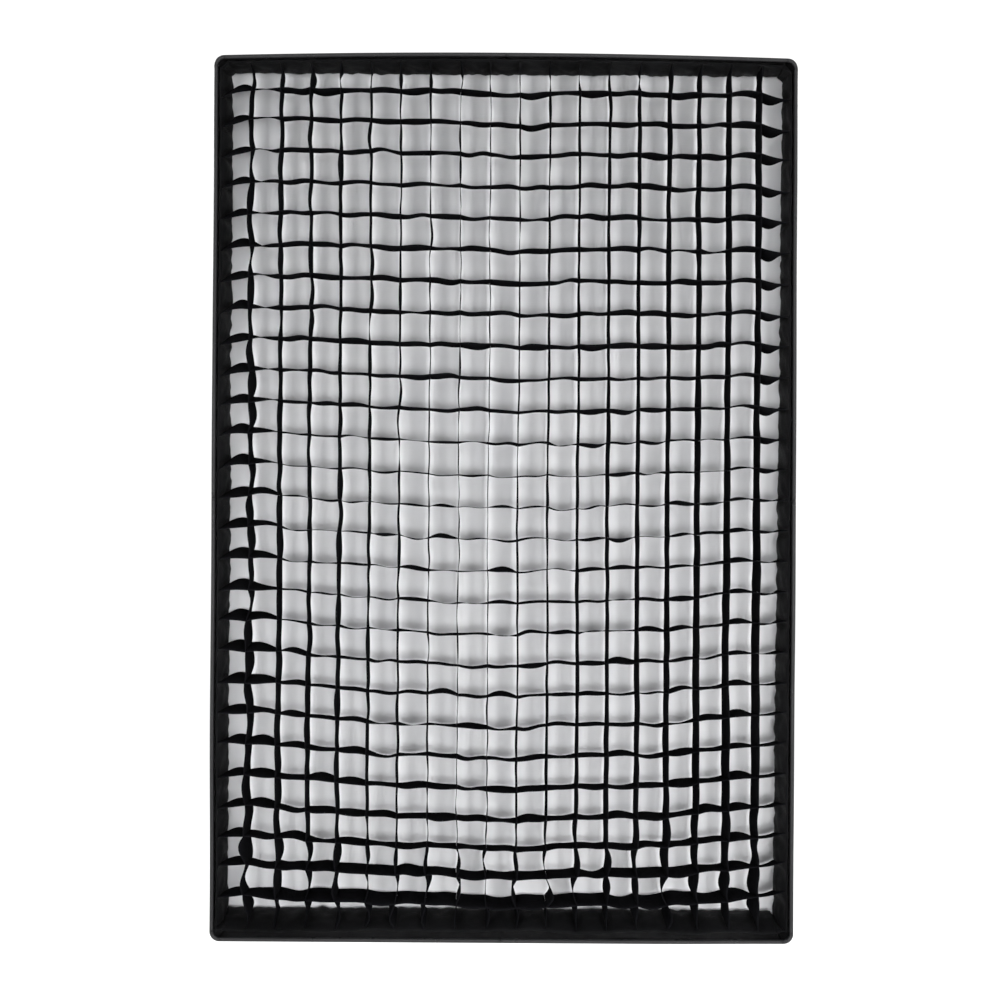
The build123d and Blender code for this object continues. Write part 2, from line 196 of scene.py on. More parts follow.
class Nodes:
    """A material's node tree, with short ways to add to it."""

    def __init__(self, name):
        self.material = bpy.data.materials.new(name)
        self.material.use_nodes = True
        self.tree = self.material.node_tree
        self.shader = self.tree.nodes["Principled BSDF"]
        self.place = self.add("ShaderNodeTexCoord").outputs["Object"]

    def add(self, kind, **values):
        node = self.tree.nodes.new(kind)
        for key, value in values.items():
            setattr(node, key, value)
        return node

    def link(self, source, target):
        self.tree.links.new(source, target)

    def noise(self, scale, detail=3.0, stretch=(1, 1, 1)):
        mapping = self.add("ShaderNodeMapping")
        mapping.inputs["Scale"].default_value = stretch
        self.link(self.place, mapping.inputs["Vector"])
        texture = self.add("ShaderNodeTexNoise")
        texture.inputs["Scale"].default_value = scale
        texture.inputs["Detail"].default_value = detail
        self.link(mapping.outputs["Vector"], texture.inputs["Vector"])
        return texture.outputs["Fac"]

    def wave(self, direction, scale, distortion=0.4):
        texture = self.add("ShaderNodeTexWave", bands_direction=direction)
        texture.inputs["Scale"].default_value = scale
        texture.inputs["Distortion"].default_value = distortion
        texture.inputs["Detail Scale"].default_value = 2.0
        self.link(self.place, texture.inputs["Vector"])
        return texture.outputs["Fac"]

    def maths(self, operation, a, b):
        node = self.add("ShaderNodeMath", operation=operation)
        for slot, value in enumerate((a, b)):
            if isinstance(value, (int, float)):
                node.inputs[slot].default_value = value
            else:
                self.link(value, node.inputs[slot])
        return node.outputs[0]

    def ramp(self, source, low, high, start=0.3, end=0.7):
        node = self.add("ShaderNodeValToRGB")
        node.color_ramp.elements[0].position = start
        node.color_ramp.elements[1].position = end
        node.color_ramp.elements[0].color = (*low, 1)
        node.color_ramp.elements[1].color = (*high, 1)
        self.link(source, node.inputs["Fac"])
        return node.outputs["Color"]

    def span(self, source, low, high):
        node = self.add("ShaderNodeMapRange")
        node.inputs["To Min"].default_value = low
        node.inputs["To Max"].default_value = high
        self.link(source, node.inputs["Value"])
        return node.outputs["Result"]

    def bump(self, source, distance, strength=1.0, after=None):
        node = self.add("ShaderNodeBump")
        node.inputs["Distance"].default_value = distance
        node.inputs["Strength"].default_value = strength
        self.link(source, node.inputs["Height"])
        if after:
            self.link(after, node.inputs["Normal"])
        return node.outputs["Normal"]

    def set(self, **values):
        for name, value in values.items():
            self.shader.inputs[name.replace("_", " ")].default_value = value

    def feed(self, **sources):
        for name, source in sources.items():
            self.link(source, self.shader.inputs[name.replace("_", " ")])


def woven(name, low, high, thread, depth, roughness, sheen, specular=0.15, slub=0.0003):
    """Plain woven cloth: two sets of threads, slubs, and a slow change of colour."""
    n = Nodes(name)
    scale = math.pi / (10 * thread)
    threads = n.maths("MULTIPLY", n.wave("X", scale), n.wave("Z", scale))
    depth_threads = n.maths("MULTIPLY", n.wave("Y", scale), threads)
    cloth = n.maths("ADD", threads, depth_threads)
    fine = n.bump(cloth, depth)
    creases = n.bump(n.noise(26.0, 4.0), slub, 0.7, after=fine)
    n.feed(Base_Color=n.ramp(n.noise(9.0, 5.0), low, high), Normal=creases)
    n.feed(Roughness=n.span(n.noise(60.0, 2.0), *roughness))
    n.set(Sheen_Weight=sheen, Sheen_Roughness=0.4, Specular_IOR_Level=specular)
    return n.material


def silver_lining():
    """Metallised cloth with a fine pebbled face."""
    n = Nodes("silver_lining")
    pebbles = n.add("ShaderNodeTexVoronoi")
    pebbles.inputs["Scale"].default_value = 420.0
    n.link(n.place, pebbles.inputs["Vector"])
    face = n.bump(pebbles.outputs["Distance"], 0.0006, 0.8)
    creases = n.bump(n.noise(14.0, 4.0), 0.002, 0.6, after=face)
    n.feed(Base_Color=n.ramp(n.noise(30.0), (0.55, 0.56, 0.58), (0.72, 0.73, 0.75)), Normal=creases)
    n.feed(Roughness=n.span(n.noise(80.0), 0.28, 0.42))
    n.set(Metallic=0.9)
    return n.material


def diffusion_cloth():
    """Thin white cloth with a fine grain of threads and very soft mottling."""
    n = Nodes("diffusion_cloth")
    scale = math.pi / (10 * 0.0006)
    threads = n.maths("MULTIPLY", n.wave("X", scale, 0.2), n.wave("Z", scale, 0.2))
    n.feed(Normal=n.bump(threads, 0.00008, 0.6))
    n.feed(Base_Color=n.ramp(n.noise(14.0, 4.0), (0.83, 0.835, 0.86), (0.89, 0.893, 0.91)))
    n.feed(Roughness=n.span(n.noise(50.0), 0.75, 0.9))
    n.set(Sheen_Weight=0.15, Sheen_Roughness=0.5)
    return n.material


def powder_coat(name, low, high, roughness, metallic=0.0):
    """Fine textured paint on metal, a little worn."""
    n = Nodes(name)
    grain = n.bump(n.noise(1800.0, 2.0), 0.00012, 0.7)
    n.feed(Normal=n.bump(n.noise(120.0, 3.0), 0.0003, 0.3, after=grain))
    n.feed(Base_Color=n.ramp(n.noise(45.0, 6.0), low, high, 0.4, 0.75))
    n.feed(Roughness=n.span(n.noise(90.0, 4.0), *roughness))
    n.set(Metallic=metallic)
    return n.material


def steel(name, low, high, roughness, stretch):
    """Drawn or zinc plated steel, with fine lines along one way."""
    n = Nodes(name)
    lines = n.noise(900.0, 2.0, stretch)
    n.feed(Normal=n.bump(lines, 0.00006, 0.6))
    n.feed(Base_Color=n.ramp(n.noise(70.0, 5.0), low, high))
    n.feed(Roughness=n.span(lines, *roughness))
    n.set(Metallic=1.0)
    return n.material


def moulded(name, low, high, roughness):
    """Moulded plastic with a fine spark-eroded grain."""
    n = Nodes(name)
    n.feed(Normal=n.bump(n.noise(1300.0, 1.0), 0.0001, 0.6))
    n.feed(Base_Color=n.ramp(n.noise(60.0, 4.0), low, high))
    n.feed(Roughness=n.span(n.noise(200.0, 3.0), *roughness))
    return n.material


def hook_tape():
    """Hook and loop tape: dense short loops."""
    n = Nodes("hook_tape")
    loops = n.add("ShaderNodeTexVoronoi")
    loops.inputs["Scale"].default_value = 700.0
    n.link(n.place, loops.inputs["Vector"])
    n.feed(Normal=n.bump(loops.outputs["Distance"], 0.0012, 1.0))
    n.feed(Base_Color=n.ramp(n.noise(120.0), (0.008, 0.008, 0.009), (0.03, 0.03, 0.032)))
    n.feed(Roughness=n.span(n.noise(300.0), 0.7, 0.95))
    n.set(Sheen_Weight=0.4, Sheen_Roughness=0.6)
    return n.material


MATERIALS = {
    "black_nylon": woven("black_nylon", (0.004, 0.004, 0.005), (0.009, 0.009, 0.010), 0.0007, 0.0002,
                         (0.5, 0.66), 0.02, 0.15),
    "shell_cloth": woven("shell_cloth", (0.007, 0.007, 0.008), (0.015, 0.015, 0.017), 0.0008, 0.0002,
                         (0.52, 0.7), 0.05, 0.3),
    "grid_cloth": woven("grid_cloth", (0.0042, 0.0042, 0.0052), (0.0086, 0.0086, 0.0100), 0.0007, 0.0002,
                        (0.7, 0.85), 0.004, 0.0),
    "border_cloth": woven("border_cloth", (0.0020, 0.0020, 0.0024), (0.0058, 0.0058, 0.0066), 0.0007, 0.0002,
                          (0.5, 0.65), 0.01, 0.06, 0.0006),
    "piping": woven("piping", (0.005, 0.005, 0.006), (0.010, 0.010, 0.011), 0.0006, 0.0001,
                    (0.24, 0.34), 0.0, 0.32),
    "silver_lining": silver_lining(),
    "diffusion_cloth": diffusion_cloth(),
    "hook_tape": hook_tape(),
    "cast_metal": powder_coat("cast_metal", (0.022, 0.022, 0.024), (0.05, 0.05, 0.054), (0.42, 0.58), 0.3),
    "black_steel": powder_coat("black_steel", (0.02, 0.02, 0.021), (0.05, 0.05, 0.052), (0.3, 0.48), 0.4),
    "zinc_steel": steel("zinc_steel", (0.5, 0.51, 0.52), (0.7, 0.71, 0.72), (0.2, 0.36), (1, 0.1, 1)),
    "rod_steel": steel("rod_steel", (0.34, 0.35, 0.36), (0.52, 0.53, 0.54), (0.22, 0.4), (0.2, 0.2, 0.2)),
    "glide_plastic": moulded("glide_plastic", (0.7, 0.69, 0.65), (0.82, 0.81, 0.78), (0.35, 0.5)),
    "tip_plastic": moulded("tip_plastic", (0.015, 0.015, 0.015), (0.032, 0.032, 0.032), (0.35, 0.52)),
    "knob_rubber": moulded("knob_rubber", (0.016, 0.016, 0.017), (0.034, 0.034, 0.035), (0.45, 0.62)),
}


def finish_piece(obj, body, material, nodes=(), squash=None):
    """Material, slot, body and the CAD nodes that the piece stands for."""
    obj.data.materials.clear()
    obj.data.materials.append(MATERIALS[material])
    if nodes:
        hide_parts(*nodes)
    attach(obj, body)
    if squash:
        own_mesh(obj)
    return obj


# Axis, anchor and keep for cloth that bunches up in a fold: the front sheets towards the middle height, the
# lip towards the seam. Nothing here folds the cloth; finish_piece only gives a piece that gets these its own
# mesh.
BUNCH_UP = {"axis": (0, 0, 1), "anchor": (0, 0, 0), "keep": 0.04}
ROLL_LIP = {"axis": (0, 1, 0), "anchor": (0, LIP_REAR_Y, 0), "keep": 0.05}


# ---------------------------------------------------------------- shape of the front's edge


def edge_shift(x, z):
    """How far the lip's line is off a true rectangle.

    The top bows up, the bottom is low except at its right corner, and the sides wander.
    """
    top = step(0.3, 1.0, z / HALF_H) * 0.006 * (1 - (x / HALF_W) ** 2)
    low = step(-0.3, -1.0, z / HALF_H)
    corner = low * (0.0012 * step(0.5, 1.0, x / HALF_W) - 0.0012)
    side = 0.0012 * wander(x, z, 0.23, 3)
    return Vector((side, 0, top + corner))


def lip_ripple(x, y, z):
    """Shallow puckers in the lip's cloth, outward from its wall."""
    along = z if abs(x) > HALF_W - CORNER_R else x
    seam = step(LIP_REAR_Y - 0.025, LIP_REAR_Y, y)
    slow = 0.0012 * noise.noise(Vector((along * 14, y * 9, 2.5 + z)))
    pucker = 0.0007 * seam * noise.noise(Vector((along * 95, y * 20, 8.5)))
    return (slow + pucker) * step(LIP_FRONT_Y + 0.004, LIP_FRONT_Y + 0.02, y)


PIPING_R = 0.0029
PIPING_SIDES = 14


def lip_profile():
    """Outline of the lip's wall with its piping, as (outward, y) pairs, outward from the outer face."""
    points = []
    centre_y = LIP_FRONT_Y + PIPING_R
    for k in range(PIPING_SIDES + 1):
        angle = math.radians(60 - 300 * k / PIPING_SIDES)
        points.append((-PIPING_R + PIPING_R * math.sin(angle), centre_y + PIPING_R * math.cos(angle)))
    inner = -PIPING_R - 0.0005
    depths = [0.004, 0.012, 0.024, 0.038, 0.052, 0.062, LIP_REAR_Y - centre_y - PIPING_R]
    for depth in depths:
        points.append((inner, centre_y + PIPING_R + depth))
    for depth in reversed(depths):
        points.append((-0.0012, centre_y + PIPING_R + depth))
    return points


def sweep_lip(name, path):
    """The lip's wall along a path of (x, z, outward x, outward z)."""
    profile = lip_profile()
    count = len(profile)
    vertices = []
    for x, z, nx, nz in path:
        shift = edge_shift(x, z)
        for out, y in profile:
            push = out + lip_ripple(x, y, z)
            vertices.append(Vector((x + nx * push, y, z + nz * push)) + shift)
    faces = []
    for j in range(len(path) - 1):
        for i in range(count):
            a = j * count + i
            b = j * count + (i + 1) % count
            faces.append((a, a + count, b + count, b))
    faces.append(tuple(range(count)))
    faces.append(tuple(reversed(range((len(path) - 1) * count, len(path) * count))))
    return new_object(name, vertices, faces)


def straight_path(start, end, normal, pitch=0.006):
    count = max(2, round(math.hypot(end[0] - start[0], end[1] - start[1]) / pitch))
    return [
        (lerp(start[0], end[0], k / count), lerp(start[1], end[1], k / count), *normal)
        for k in range(count + 1)
    ]


def corner_path(sides, steps=12):
    sx, sz = sides
    cx, cz = HALF_W - CORNER_R, HALF_H - CORNER_R
    path = []
    for k in range(steps + 1):
        angle = math.pi / 2 * k / steps
        nx, nz = math.cos(angle) * sx, math.sin(angle) * sz
        path.append((sx * cx + nx * CORNER_R, sz * cz + nz * CORNER_R, nx, nz))
    return path if sx * sz > 0 else list(reversed(path))


def oriented(path, clockwise):
    return list(reversed(path)) if clockwise else path


def make_lip():
    cx, cz = HALF_W - CORNER_R, HALF_H - CORNER_R
    for corner, (sx, sz) in CORNERS.items():
        upright, side = corner.split("_")
        level = "top" if sz > 0 else "bottom"
        flat = straight_path((0, sz * HALF_H), (sx * cx, sz * HALF_H), (0, sz))
        upright_run = straight_path((sx * HALF_W, 0), (sx * HALF_W, sz * cz), (sx, 0))
        pieces = [
            (f"lip_cloth_{level}_{side}", oriented(flat, sx * sz > 0), f"flap_{level}_{side}",
             f"lip_{level}_{side}"),
            (f"lip_cloth_{side}_{upright}", oriented(upright_run, sx * sz < 0), f"flap_{side}_{upright}",
             f"lip_{side}_{upright}"),
            (f"lip_cloth_{corner}", corner_path((sx, sz)), f"rod_{corner}_arm", f"lip_corner_{corner}"),
        ]
        for name, path, body, node in pieces:
            obj = sweep_lip(name, path)
            finish_piece(obj, body, "black_nylon", [node], ROLL_LIP)
            obj.data.materials.append(MATERIALS["piping"])
            count = len(lip_profile())
            for k, face in enumerate(obj.data.polygons):
                face.material_index = int(len(face.vertices) == 4 and k % count < PIPING_SIDES)


# ---------------------------------------------------------------- grid


def column_x(i):
    return -GRID_X + 2 * GRID_X * i / COLUMNS


def row_z(j):
    return GRID_Z - 2 * GRID_Z * j / ROWS


def hang(x, z):
    """How far the horizontal strips are above their flat place.

    They are high at the top and at the side borders, sag in the middle and lower part,
    and come back up near the bottom border.
    """
    u, v = x / GRID_X, z / GRID_Z
    middle = 0.008 - 0.025 * step(0.95, -0.35, v) + 0.014 * step(-0.7, -1.0, v)
    edge = (0.013 - 0.004 * step(0.2, -0.6, v)) if u < 0 else (0.004 + 0.003 * step(0.4, -0.4, v))
    edge *= step(1.0, 0.85, abs(v)) * 0.6 + 0.4
    bottom = (0.0025 + 0.0035 * abs(u)) * step(-0.75, -0.95, v)
    return lerp(middle, edge, abs(u) ** 1.8) + bottom


def wall_inset(x, z, t):
    """How far inward the border cloth stands, t being 0 at the rear edge and 1 at the front edge."""
    if abs(x) * GRID_Z > abs(z) * GRID_X:
        rear, front = (0.0098 if x < 0 else 0.0064 - 0.006 * z), 0.0032
        ripple = wander(z, 0, 0.05, 5 if x < 0 else 6)
    elif z > 0:
        rear, front = 0.0034, 0.0040
        ripple = wander(x, 0, 0.05, 7)
    else:
        rear, front = 0.0215, 0.0095 + 0.004 * wander(x, 0, 0.07, 8)
        ripple = wander(x, 0, 0.05, 8)
    lean = rear + 0.0012 * ripple
    return front + (lean - front) * (1 - t) ** 0.8


def edge_tilt(i, z):
    """How much higher the front edge of a horizontal strip is than its rear edge, near the sides."""
    if i == 0:
        return -0.0068 - 0.030 * z - LEAN
    if i == 1:
        return -0.0085 - 0.0135 * z + 0.008 * step(-0.2, -0.45, z)
    if i == COLUMNS - 1:
        return 0.003 - 0.014 * z
    return 0.003 - 0.025 * z - LEAN


class Grid:
    """Places of the crossings at the front and rear edges, and the bow of every stretch of cloth."""

    def __init__(self):
        self.shift = {}
        for j in range(ROWS + 1):
            for i in range(COLUMNS + 1):
                self.shift[i, j] = self.crossing(i, j)
        for j in range(1, ROWS):
            self.hang_ends(j)
        self.flat_bow = {(i, j): self.flat_stretch(i, j) for j in range(ROWS + 1) for i in range(COLUMNS)}
        self.tall_bow = {(i, j): self.tall_stretch(i, j) for j in range(ROWS) for i in range(COLUMNS + 1)}

    def crossing(self, i, j):
        """Shift of (x rear, x front, z rear, z front)."""
        x, z = column_x(i), row_z(j)
        v = z / GRID_Z
        lift = hang(x, z) + 0.0042 * noise.noise(Vector((x / 0.062, z / 0.40, 7.3)))
        across = 0.0012 * wander(x, z, 0.16, 2)
        tilt = lerp(0.0045, 0.0080, step(-0.05, -0.5, v)) * step(0.85, 0.35, v) * step(-0.97, -0.78, v)
        tilt -= 0.010 * max(0.0, z - TURN_Z) + LEAN
        narrow = lerp(-0.0035, 0.006, step(-0.5, 0.3, z)) * (x - NARROW_X)
        jitter = [rng.gauss(0, size) for size in (0.0003, 0.0004, 0.0005, 0.0005)]
        if i == 1:
            across += 0.0045 * wander(z, 0, 0.045, 4)
        if i in (1, COLUMNS - 1):
            tilt = edge_tilt(i, z)
        place = [
            across + narrow / 2 + jitter[0],
            across - narrow / 2 + jitter[1],
            lift - tilt / 2 + jitter[2],
            lift + tilt / 2 + jitter[3],
        ]
        if j == 0:
            place[2:] = [-wall_inset(x, z, 0), -wall_inset(x, z, 1) + edge_shift(x, HALF_H).z]
        if j == ROWS:
            place[2:] = [wall_inset(x, z, 0), wall_inset(x, z, 1) + edge_shift(x, -HALF_H).z]
        if i == 0:
            place[:2] = [wall_inset(x, z * 0.9, 0), wall_inset(x, z * 0.9, 1)]
        if i == COLUMNS:
            place[:2] = [-wall_inset(x, z * 0.9, 0), -wall_inset(x, z * 0.9, 1)]
        return place

    def hang_ends(self, j):
        """The ends of a horizontal strip, sewn to the side borders, from its first and last crossing."""
        z = row_z(j)
        rear = self.shift[1, j][2] - 0.002 + rng.gauss(0, 0.0006)
        self.shift[0, j][2:] = [rear, rear + edge_tilt(0, z) + rng.gauss(0, 0.0012)]
        front = self.shift[COLUMNS - 1, j][3] - 0.001 - 0.018 * z + rng.gauss(0, 0.0006)
        self.shift[COLUMNS, j][2:] = [front - edge_tilt(COLUMNS, z) + rng.gauss(0, 0.0008), front]

    def flat_stretch(self, i, j):
        """Bows of a horizontal strip's stretch: rear, front, and an S shape."""
        z = row_z(j)
        upper = step(-0.05, 0.15, z)
        common = rng.gauss(-0.0002, 0.0011)
        if i == 0:
            return 0.0048 + common, 0.001 + common, 0.0
        if i == COLUMNS - 1:
            return lerp(-0.003, -0.010, upper) + common, -0.0015, 0.0
        if i == COLUMNS - 2:
            return lerp(0.0055, 0.003, upper) + common, lerp(0.0005, 0.003, upper), 0.0
        lean = noise.noise(Vector((i * 7.7, z / 0.22, 3.1)))
        size = lerp(0.0028, 0.0016, upper)
        rear = size * (1.3 * lean + rng.gauss(0, 0.8))
        front = 0.0012 * (lean + rng.gauss(0, 0.8))
        return common + rear, common + front, rng.gauss(0, 0.0006)

    def tall_stretch(self, i, j):
        """Bows of a vertical strip's stretch: rear, front, and an S shape."""
        v = row_z(j + 0.5) / GRID_Z
        size = 0.0004 + 0.0006 * step(0.2, -0.6, column_x(i) / GRID_X) + 0.0012 * (i == 1)
        size += 0.0026 * step(-0.66, -0.90, v) + 0.0010 * step(0.88, 0.97, v)
        common = rng.gauss(0, size)
        lens = rng.gauss(0, size * 1.1)
        return common - lens / 2, common + lens / 2, rng.gauss(0, size * 0.3)

    def point(self, i, j, t):
        """The crossing's place at depth t, from the rear edge at 0 to the front edge at 1."""
        x_rear, x_front, z_rear, z_front = self.shift[i, j]
        x = column_x(i) + lerp(x_rear, x_front, t)
        z = row_z(j) + lerp(z_rear, z_front, t)
        return Vector((x, lerp(STRIP_REAR_Y, STRIP_FRONT_Y, t), z))

    def stretch(self, a, b, bow, aside, f, t):
        """A point between two crossings a and b, bowed aside."""
        rear, front, wave = bow
        size = lerp(rear, front, t) * math.sin(math.pi * f) + wave * math.sin(2 * math.pi * f)
        return a.lerp(b, f) + aside * size


def stations(cells, cell_size):
    """(cell, fraction) along a strip, with two close stations at every slot."""
    gap = SLOT_HALF / cell_size
    found, slots = [], set()
    for cell in range(cells):
        first = 0.0 if cell == 0 else gap
        last = 1.0 if cell == cells - 1 else 1.0 - gap
        for k in range(CELL_STEPS + 1):
            found.append((cell, lerp(first, last, k / CELL_STEPS)))
        if cell < cells - 1:
            slots.add(len(found) - 1)
    return found, slots


def strip_mesh(place, cells, cell_size, slot_at_front):
    """One strip of cloth with a slot at each crossing, as a single layer."""
    found, slots = stations(cells, cell_size)
    across = DEPTH_STEPS + 1
    vertices = [place(cell, f, k / DEPTH_STEPS) for cell, f in found for k in range(across)]
    half = DEPTH_STEPS // 2

    def in_slot(i, j):
        return j in slots and (i >= half) == slot_at_front

    return vertices, grid_faces(across, len(found), skip=in_slot)


def make_grid_strips(grid):
    width = 2 * GRID_X / COLUMNS
    height = 2 * GRID_Z / ROWS

    def flat_place(j):
        def place(cell, f, t):
            a, b = grid.point(cell, j, t), grid.point(cell + 1, j, t)
            return grid.stretch(a, b, grid.flat_bow[cell, j], Vector((0, 0, 1)), f, t)
        return place

    def tall_place(i):
        def place(cell, f, t):
            a, b = grid.point(i, cell, t), grid.point(i, cell + 1, t)
            return grid.stretch(a, b, grid.tall_bow[i, cell], Vector((1, 0, 0)), f, t)
        return place

    flat = [strip_mesh(flat_place(j), COLUMNS, width, False) for j in range(1, ROWS)]
    obj = thicken(new_object("grid_cloth_horizontal", *join_meshes(flat)), CLOTH)
    finish_piece(obj, "grid", "grid_cloth", ["grid_horizontal_strips"], BUNCH_UP)
    tall = [strip_mesh(tall_place(i), ROWS, height, True) for i in range(1, COLUMNS)]
    obj = thicken(new_object("grid_cloth_vertical", *join_meshes(tall)), CLOTH)
    finish_piece(obj, "grid", "grid_cloth", ["grid_vertical_strips"], BUNCH_UP)


BORDER_CUT = 0.012  # off the border's corners


def border_path(pitch=0.004):
    """Points round the border's outside, as (x, z, outward x, outward z)."""
    x, z = GRID_X + WALL, GRID_Z + WALL
    cut = BORDER_CUT
    corners = [(x, -z + cut), (x, z - cut), (x - cut, z), (-x + cut, z),
               (-x, z - cut), (-x, -z + cut), (-x + cut, -z), (x - cut, -z)]
    path = []
    for k, start in enumerate(corners):
        end = corners[(k + 1) % len(corners)]
        run = math.hypot(end[0] - start[0], end[1] - start[1])
        count = max(3, round(run / pitch))
        nx, nz = (end[1] - start[1]) / run, -(end[0] - start[0]) / run
        for m in range(count):
            f = m / count
            path.append((lerp(start[0], end[0], f), lerp(start[1], end[1], f), nx, nz))
    return path


def strip_pull(x, z, nx):
    """1 where a strip is sewn to the border, 0 between the strips."""
    if abs(nx) > 0.9:
        along, pitch, start = z, 2 * GRID_Z / ROWS, GRID_Z
    else:
        along, pitch, start = x, 2 * GRID_X / COLUMNS, GRID_X
    return abs(math.cos(math.pi * (along - start) / pitch)) ** 6


def make_grid_border():
    path = border_path()
    steps = 12
    vertices = []
    for x, z, nx, nz in path:
        shift = edge_shift(x, z)
        pull = strip_pull(x, z, nx)
        for k in range(steps + 1):
            t = k / steps
            y = lerp(BORDER_REAR_Y, BORDER_FRONT_Y, t)
            inset = wall_inset(x, z, t) - 0.0022 * pull * math.sin(math.pi * t)
            inset += 0.0020 * (1 - t) * noise.noise(Vector((x * 90, z * 90, t * 2)))
            bulge = 0.0030 + 0.0034 * wander(x, z, 0.045, 9)
            crease = 0.0016 * noise.noise(Vector((x * 70 + t * 3, z * 70 + t * 3, t * 1.5)))
            push = -inset - (bulge * math.sin(math.pi * t ** 0.8) + crease) * (1 - pull) - 0.0006
            vertices.append(Vector((x + nx * push, y, z + nz * push)) + shift * t)
    faces = grid_faces(steps + 1, len(path), closed=True)
    obj = thicken(new_object("grid_border_cloth", vertices, faces), CLOTH)
    finish_piece(obj, "grid", "border_cloth", ["grid_border"], BUNCH_UP)


# ---------------------------------------------------------------- diffuser


def soft_folds(count):
    """Soft vertical folds: (x, lean, half width, depth, top, bottom)."""
    folds = []
    for k in range(count):
        x = lerp(-0.36, 0.36, (k + rng.uniform(0.1, 0.9)) / count)
        centre = math.exp(-((x / 0.22) ** 2))
        depth = rng.uniform(0.0014, 0.0042) * (0.35 + 0.9 * centre) * rng.choice((1, 1, -0.6))
        folds.append((x, rng.uniform(-0.03, 0.03), rng.uniform(0.009, 0.018), depth,
                      rng.uniform(0.50, 0.66), rng.uniform(-0.5, 0.0)))
    return folds


FOLDS = soft_folds(26)


def diffuser_depth(x, z):
    """How far the cloth stands back from its flat place."""
    depth = 0.0
    for centre, lean, half, size, top, bottom in FOLDS:
        off = (x - centre - lean * z) / half
        if abs(off) < 3:
            fold = size * math.exp(-off * off) * step(bottom - 0.35, bottom + 0.2, z)
            depth += fold * step(top + 0.06, top - 0.1, z)
    depth += 0.0016 * wander(x, z, 0.3, 11) + 0.0005 * wander(x, z, 0.05, 12)
    edge = step(DIFFUSER_X, DIFFUSER_X - 0.03, abs(x)) * step(DIFFUSER_Z, DIFFUSER_Z - 0.03, abs(z))
    return depth * edge


def make_diffuser():
    across, along = 196, 150
    vertices = []
    for j in range(along + 1):
        z = lerp(-DIFFUSER_Z, DIFFUSER_Z, j / along)
        for i in range(across + 1):
            x = lerp(-DIFFUSER_X, DIFFUSER_X, i / across)
            vertices.append(Vector((x, DIFFUSER_Y - 0.0006 + diffuser_depth(x, z), z)) + edge_shift(x, z))
    obj = thicken(new_object("diffuser_cloth", vertices, grid_faces(across + 1, along + 1)), DIFFUSER_CLOTH)
    finish_piece(obj, "diffuser", "diffusion_cloth", ["front_diffuser"], BUNCH_UP)


def make_diffuser_tape():
    """The border tape, which stands up inside the lip all round."""
    low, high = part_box("diffuser_tape")
    x, z = high.x - 0.0005, high.z - 0.0005
    radius = CORNER_R
    path = []
    for sx, sz in ((1, 1), (-1, 1), (-1, -1), (1, -1)):
        cx, cz = sx * (x - radius), sz * (z - radius)
        start = math.atan2(sz - sx, sx + sz)
        for k in range(9):
            angle = start + math.pi / 2 * k / 8
            path.append((cx + math.cos(angle) * radius, cz + math.sin(angle) * radius))
    dense = []
    for k, point in enumerate(path):
        after = path[(k + 1) % len(path)]
        count = max(1, round(math.dist(point, after) / 0.008))
        for m in range(count):
            f = m / count
            dense.append((lerp(point[0], after[0], f), lerp(point[1], after[1], f)))
    steps = 5
    vertices = []
    for px, pz in dense:
        for k in range(steps + 1):
            y = lerp(high.y, low.y, k / steps)
            vertices.append((px, y + 0.0006 * wander(px, pz, 0.06, 13), pz))
    faces = grid_faces(steps + 1, len(dense), closed=True)
    obj = thicken(new_object("diffuser_border_tape", vertices, faces), TAPE)
    finish_piece(obj, "diffuser", "hook_tape", ["diffuser_tape"], BUNCH_UP)


# ---------------------------------------------------------------- shell


PANEL_SLACK = 0.007  # how deep a panel hangs in between its rods
PANEL_CLOTH = 0.0010  # black cloth and silver lining together


def panel_point(rear, front, middle, a, b):
    """A point of a half panel: a from the corner seam to the middle, b from the rear to the front."""
    seam = rear.lerp(front, b)
    centre = seam.copy()
    if middle == "x":
        centre.x = 0
    else:
        centre.z = 0
    return seam.lerp(centre, a)


